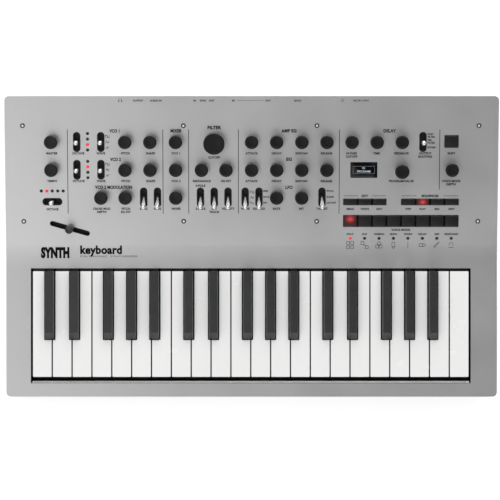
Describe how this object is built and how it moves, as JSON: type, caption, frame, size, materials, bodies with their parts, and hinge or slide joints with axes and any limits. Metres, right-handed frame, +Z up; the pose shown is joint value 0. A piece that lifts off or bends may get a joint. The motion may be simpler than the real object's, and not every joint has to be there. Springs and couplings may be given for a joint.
{
  "type": "keyboard synthesizer",
  "caption": "Compact keyboard synthesizer with slim hinged keys, turning knobs, lever switches, push buttons, a sprung slider, a metal panel and a wooden rear.",
  "frame": {"origin": "middle of the footprint, on the plane of the feet", "axes": "+X to the player's right along the keyboard, +Y away from the player, +Z up"},
  "size_m": [0.5, 0.305, 0.0831],
  "materials": {
    "panel_aluminium": "fine sandblasted, satin anodised",
    "case_plastic": "fine textured black moulding",
    "wood": "reddish-brown hardwood, satin oil",
    "steel_parts": "bright drawn steel",
    "spring_steel": "plain spring strip",
    "chassis_plastic": "dark glass-filled moulding",
    "white_key_plastic": "smooth, slightly warm white",
    "black_key_plastic": "satin black",
    "knob_rubber": "soft matt black",
    "lever_chrome": "bright plated",
    "button_plastic": "smoked translucent black",
    "circuit_board": "green solder mask",
    "component_body": "black moulded components",
    "led_lens": "tinted red lens",
    "display_glass": "dark polished window",
    "socket_black": "black moulded",
    "foot_rubber": "matt black"
  },
  "bodies": {
    "case": {"top_panel": "panel_aluminium", "bottom_case": "case_plastic", "rear_panel": "wood", "keybed_chassis": "chassis_plastic", "key_pivot_rod": "steel_parts", "key_contact_board": "circuit_board", "key_springs": "spring_steel", "control_board": "circuit_board", "potentiometers": "component_body", "switch_bodies": "component_body", "indicator_lights": "led_lens", "display_module": "display_glass", "main_board": "circuit_board", "jack_sockets": "socket_black", "screws": "steel_parts", "rubber_feet": "foot_rubber"},
    "white_keys_c_f": {"white_keys_c_f": "white_key_plastic"},
    "white_keys_d": {"white_keys_d": "white_key_plastic"},
    "white_keys_e_b": {"white_keys_e_b": "white_key_plastic"},
    "white_keys_g": {"white_keys_g": "white_key_plastic"},
    "white_keys_a": {"white_keys_a": "white_key_plastic"},
    "black_keys": {"black_keys": "black_key_plastic"},
    "levers_upper": {"levers_upper": "lever_chrome"},
    "levers_middle": {"levers_middle": "lever_chrome"},
    "levers_lower": {"levers_lower": "lever_chrome"},
    "octave_lever": {"octave_lever": "lever_chrome"},
    "pitch_slider": {"pitch_slider": "button_plastic"},
    "step_buttons": {"step_buttons": "button_plastic"},
    "function_buttons": {"function_buttons": "button_plastic"},
    "shift_button": {"shift_button": "button_plastic"},
    "power_button": {"power_button": "button_plastic"},
    "knob_master_level": {"knob_master_level": "knob_rubber"},
    "knob_tempo": {"knob_tempo": "knob_rubber"},
    "knob_osc1_pitch": {"knob_osc1_pitch": "knob_rubber"},
    "knob_osc1_shape": {"knob_osc1_shape": "knob_rubber"},
    "knob_osc2_pitch": {"knob_osc2_pitch": "knob_rubber"},
    "knob_osc2_shape": {"knob_osc2_shape": "knob_rubber"},
    "knob_cross_mod": {"knob_cross_mod": "knob_rubber"},
    "knob_pitch_envelope": {"knob_pitch_envelope": "knob_rubber"},
    "knob_mix_osc1": {"knob_mix_osc1": "knob_rubber"},
    "knob_mix_osc2": {"knob_mix_osc2": "knob_rubber"},
    "knob_mix_noise": {"knob_mix_noise": "knob_rubber"},
    "knob_resonance": {"knob_resonance": "knob_rubber"},
    "knob_filter_envelope": {"knob_filter_envelope": "knob_rubber"},
    "knob_amp_attack": {"knob_amp_attack": "knob_rubber"},
    "knob_amp_decay": {"knob_amp_decay": "knob_rubber"},
    "knob_amp_sustain": {"knob_amp_sustain": "knob_rubber"},
    "knob_amp_release": {"knob_amp_release": "knob_rubber"},
    "knob_env_attack": {"knob_env_attack": "knob_rubber"},
    "knob_env_decay": {"knob_env_decay": "knob_rubber"},
    "knob_env_sustain": {"knob_env_sustain": "knob_rubber"},
    "knob_env_release": {"knob_env_release": "knob_rubber"},
    "knob_lfo_rate": {"knob_lfo_rate": "knob_rubber"},
    "knob_lfo_depth": {"knob_lfo_depth": "knob_rubber"},
    "knob_delay_cutoff": {"knob_delay_cutoff": "knob_rubber"},
    "knob_delay_time": {"knob_delay_time": "knob_rubber"},
    "knob_delay_feedback": {"knob_delay_feedback": "knob_rubber"},
    "knob_voice_depth": {"knob_voice_depth": "knob_rubber"},
    "knob_filter_cutoff": {"knob_filter_cutoff": "knob_rubber"},
    "knob_program_encoder": {"knob_program_encoder": "knob_rubber"}
  },
  "joints": [
    {"name": "white_keys_c_f_press", "type": "hinge", "parent": "case", "child": "white_keys_c_f", "pos_m": [0, 0, 0.043], "axis": [1, 0, 0], "range_deg": [0, 3.5], "stiffness_Nm_per_rad": 3.5, "springref_deg": -11.46, "deforming": ["key_springs"]},
    {"name": "white_keys_d_press", "type": "hinge", "parent": "case", "child": "white_keys_d", "pos_m": [0, 0, 0.043], "axis": [1, 0, 0], "range_deg": [0, 3.5], "stiffness_Nm_per_rad": 1.5, "springref_deg": -11.46, "deforming": ["key_springs"]},
    {"name": "white_keys_e_b_press", "type": "hinge", "parent": "case", "child": "white_keys_e_b", "pos_m": [0, 0, 0.043], "axis": [1, 0, 0], "range_deg": [0, 3.5], "stiffness_Nm_per_rad": 3, "springref_deg": -11.46, "deforming": ["key_springs"]},
    {"name": "white_keys_g_press", "type": "hinge", "parent": "case", "child": "white_keys_g", "pos_m": [0, 0, 0.043], "axis": [1, 0, 0], "range_deg": [0, 3.5], "stiffness_Nm_per_rad": 1.5, "springref_deg": -11.46, "deforming": ["key_springs"]},
    {"name": "white_keys_a_press", "type": "hinge", "parent": "case", "child": "white_keys_a", "pos_m": [0, 0, 0.043], "axis": [1, 0, 0], "range_deg": [0, 3.5], "stiffness_Nm_per_rad": 1.5, "springref_deg": -11.46, "deforming": ["key_springs"]},
    {"name": "black_keys_press", "type": "hinge", "parent": "case", "child": "black_keys", "pos_m": [0, 0, 0.043], "axis": [1, 0, 0], "range_deg": [0, 3.5], "stiffness_Nm_per_rad": 22.5, "springref_deg": -11.46, "deforming": ["key_springs"]},
    {"name": "levers_upper_flip", "type": "hinge", "parent": "case", "child": "levers_upper", "pos_m": [0, 0.10698, 0.06189], "axis": [1, 0, 0], "range_deg": [-27, 27]},
    {"name": "levers_middle_flip", "type": "hinge", "parent": "case", "child": "levers_middle", "pos_m": [0, 0.07902, 0.05826], "axis": [1, 0, 0], "range_deg": [-27, 27]},
    {"name": "levers_lower_flip", "type": "hinge", "parent": "case", "child": "levers_lower", "pos_m": [0, 0.05105, 0.05463], "axis": [1, 0, 0], "range_deg": [-54, 0]},
    {"name": "octave_lever_flip", "type": "hinge", "parent": "case", "child": "octave_lever", "pos_m": [-0.2024, 0.04674, 0.05407], "axis": [0, 0.9917, 0.1288], "range_deg": [-27, 27]},
    {"name": "pitch_slide", "type": "slide", "parent": "case", "child": "pitch_slider", "axis": [0.9617, -0.2717, -0.0353], "range_m": [-0.016, 0.016], "stiffness_N_per_m": 40},
    {"name": "step_buttons_press", "type": "slide", "parent": "case", "child": "step_buttons", "axis": [0, 0.1288, -0.9917], "range_m": [0, 0.001], "stiffness_N_per_m": 480, "springref_m": -0.003},
    {"name": "function_buttons_press", "type": "slide", "parent": "case", "child": "function_buttons", "axis": [0, 0.1288, -0.9917], "range_m": [0, 0.001], "stiffness_N_per_m": 420, "springref_m": -0.003},
    {"name": "shift_button_press", "type": "slide", "parent": "case", "child": "shift_button", "axis": [0, 0.1288, -0.9917], "range_m": [0, 0.001], "stiffness_N_per_m": 60, "springref_m": -0.003},
    {"name": "power_button_press", "type": "slide", "parent": "case", "child": "power_button", "axis": [0, -1, 0], "range_m": [0, 0.0015], "stiffness_N_per_m": 150, "springref_m": -0.004},
    {"name": "knob_filter_cutoff_turn", "type": "hinge", "parent": "case", "child": "knob_filter_cutoff", "pos_m": [-0.03795, 0.10525, 0.06671], "axis": [0, -0.1288, 0.9917], "range_deg": [-150, 150]},
    {"name": "knob_program_encoder_turn", "type": "hinge", "parent": "case", "child": "knob_program_encoder", "pos_m": [0.1518, 0.07768, 0.06313], "axis": [0, -0.1288, 0.9917], "continuous": true},
    {"name": "knob_master_level_turn", "type": "hinge", "parent": "case", "child": "knob_master_level", "pos_m": [-0.2024, 0.10694, 0.06693], "axis": [0, -0.1288, 0.9917], "range_deg": [-150, 150]},
    {"name": "knob_tempo_turn", "type": "hinge", "parent": "case", "child": "knob_tempo", "pos_m": [-0.2024, 0.07897, 0.0633], "axis": [0, -0.1288, 0.9917], "range_deg": [-150, 150]},
    {"name": "knob_osc1_pitch_turn", "type": "hinge", "parent": "case", "child": "knob_osc1_pitch", "pos_m": [-0.12776, 0.10694, 0.06693], "axis": [0, -0.1288, 0.9917], "range_deg": [-150, 150]},
    {"name": "knob_osc1_shape_turn", "type": "hinge", "parent": "case", "child": "knob_osc1_shape", "pos_m": [-0.10247, 0.10694, 0.06693], "axis": [0, -0.1288, 0.9917], "range_deg": [-150, 150]},
    {"name": "knob_osc2_pitch_turn", "type": "hinge", "parent": "case", "child": "knob_osc2_pitch", "pos_m": [-0.12776, 0.07897, 0.0633], "axis": [0, -0.1288, 0.9917], "range_deg": [-150, 150]},
    {"name": "knob_osc2_shape_turn", "type": "hinge", "parent": "case", "child": "knob_osc2_shape", "pos_m": [-0.10247, 0.07897, 0.0633], "axis": [0, -0.1288, 0.9917], "range_deg": [-150, 150]},
    {"name": "knob_cross_mod_turn", "type": "hinge", "parent": "case", "child": "knob_cross_mod", "pos_m": [-0.15231, 0.051, 0.05966], "axis": [0, -0.1288, 0.9917], "range_deg": [-150, 150]},
    {"name": "knob_pitch_envelope_turn", "type": "hinge", "parent": "case", "child": "knob_pitch_envelope", "pos_m": [-0.12776, 0.051, 0.05966], "axis": [0, -0.1288, 0.9917], "range_deg": [-150, 150]},
    {"name": "knob_mix_osc1_turn", "type": "hinge", "parent": "case", "child": "knob_mix_osc1", "pos_m": [-0.07666, 0.10694, 0.06693], "axis": [0, -0.1288, 0.9917], "range_deg": [-150, 150]},
    {"name": "knob_mix_osc2_turn", "type": "hinge", "parent": "case", "child": "knob_mix_osc2", "pos_m": [-0.07666, 0.07897, 0.0633], "axis": [0, -0.1288, 0.9917], "range_deg": [-150, 150]},
    {"name": "knob_mix_noise_turn", "type": "hinge", "parent": "case", "child": "knob_mix_noise", "pos_m": [-0.07666, 0.051, 0.05966], "axis": [0, -0.1288, 0.9917], "range_deg": [-150, 150]},
    {"name": "knob_resonance_turn", "type": "hinge", "parent": "case", "child": "knob_resonance", "pos_m": [-0.0506, 0.07897, 0.0633], "axis": [0, -0.1288, 0.9917], "range_deg": [-150, 150]},
    {"name": "knob_filter_envelope_turn", "type": "hinge", "parent": "case", "child": "knob_filter_envelope", "pos_m": [-0.02581, 0.07897, 0.0633], "axis": [0, -0.1288, 0.9917], "range_deg": [-150, 150]},
    {"name": "knob_amp_attack_turn", "type": "hinge", "parent": "case", "child": "knob_amp_attack", "pos_m": [0, 0.10694, 0.06693], "axis": [0, -0.1288, 0.9917], "range_deg": [-150, 150]},
    {"name": "knob_amp_decay_turn", "type": "hinge", "parent": "case", "child": "knob_amp_decay", "pos_m": [0.0253, 0.10694, 0.06693], "axis": [0, -0.1288, 0.9917], "range_deg": [-150, 150]},
    {"name": "knob_amp_sustain_turn", "type": "hinge", "parent": "case", "child": "knob_amp_sustain", "pos_m": [0.0506, 0.10694, 0.06693], "axis": [0, -0.1288, 0.9917], "range_deg": [-150, 150]},
    {"name": "knob_amp_release_turn", "type": "hinge", "parent": "case", "child": "knob_amp_release", "pos_m": [0.0759, 0.10694, 0.06693], "axis": [0, -0.1288, 0.9917], "range_deg": [-150, 150]},
    {"name": "knob_env_attack_turn", "type": "hinge", "parent": "case", "child": "knob_env_attack", "pos_m": [0, 0.07897, 0.0633], "axis": [0, -0.1288, 0.9917], "range_deg": [-150, 150]},
    {"name": "knob_env_decay_turn", "type": "hinge", "parent": "case", "child": "knob_env_decay", "pos_m": [0.0253, 0.07897, 0.0633], "axis": [0, -0.1288, 0.9917], "range_deg": [-150, 150]},
    {"name": "knob_env_sustain_turn", "type": "hinge", "parent": "case", "child": "knob_env_sustain", "pos_m": [0.0506, 0.07897, 0.0633], "axis": [0, -0.1288, 0.9917], "range_deg": [-150, 150]},
    {"name": "knob_env_release_turn", "type": "hinge", "parent": "case", "child": "knob_env_release", "pos_m": [0.0759, 0.07897, 0.0633], "axis": [0, -0.1288, 0.9917], "range_deg": [-150, 150]},
    {"name": "knob_lfo_rate_turn", "type": "hinge", "parent": "case", "child": "knob_lfo_rate", "pos_m": [0.0253, 0.051, 0.05966], "axis": [0, -0.1288, 0.9917], "range_deg": [-150, 150]},
    {"name": "knob_lfo_depth_turn", "type": "hinge", "parent": "case", "child": "knob_lfo_depth", "pos_m": [0.0506, 0.051, 0.05966], "axis": [0, -0.1288, 0.9917], "range_deg": [-150, 150]},
    {"name": "knob_delay_cutoff_turn", "type": "hinge", "parent": "case", "child": "knob_delay_cutoff", "pos_m": [0.1012, 0.10694, 0.06693], "axis": [0, -0.1288, 0.9917], "range_deg": [-150, 150]},
    {"name": "knob_delay_time_turn", "type": "hinge", "parent": "case", "child": "knob_delay_time", "pos_m": [0.1265, 0.10694, 0.06693], "axis": [0, -0.1288, 0.9917], "range_deg": [-150, 150]},
    {"name": "knob_delay_feedback_turn", "type": "hinge", "parent": "case", "child": "knob_delay_feedback", "pos_m": [0.1518, 0.10694, 0.06693], "axis": [0, -0.1288, 0.9917], "range_deg": [-150, 150]},
    {"name": "knob_voice_depth_turn", "type": "hinge", "parent": "case", "child": "knob_voice_depth", "pos_m": [0.2024, 0.07897, 0.0633], "axis": [0, -0.1288, 0.9917], "range_deg": [-150, 150]}
  ]
}
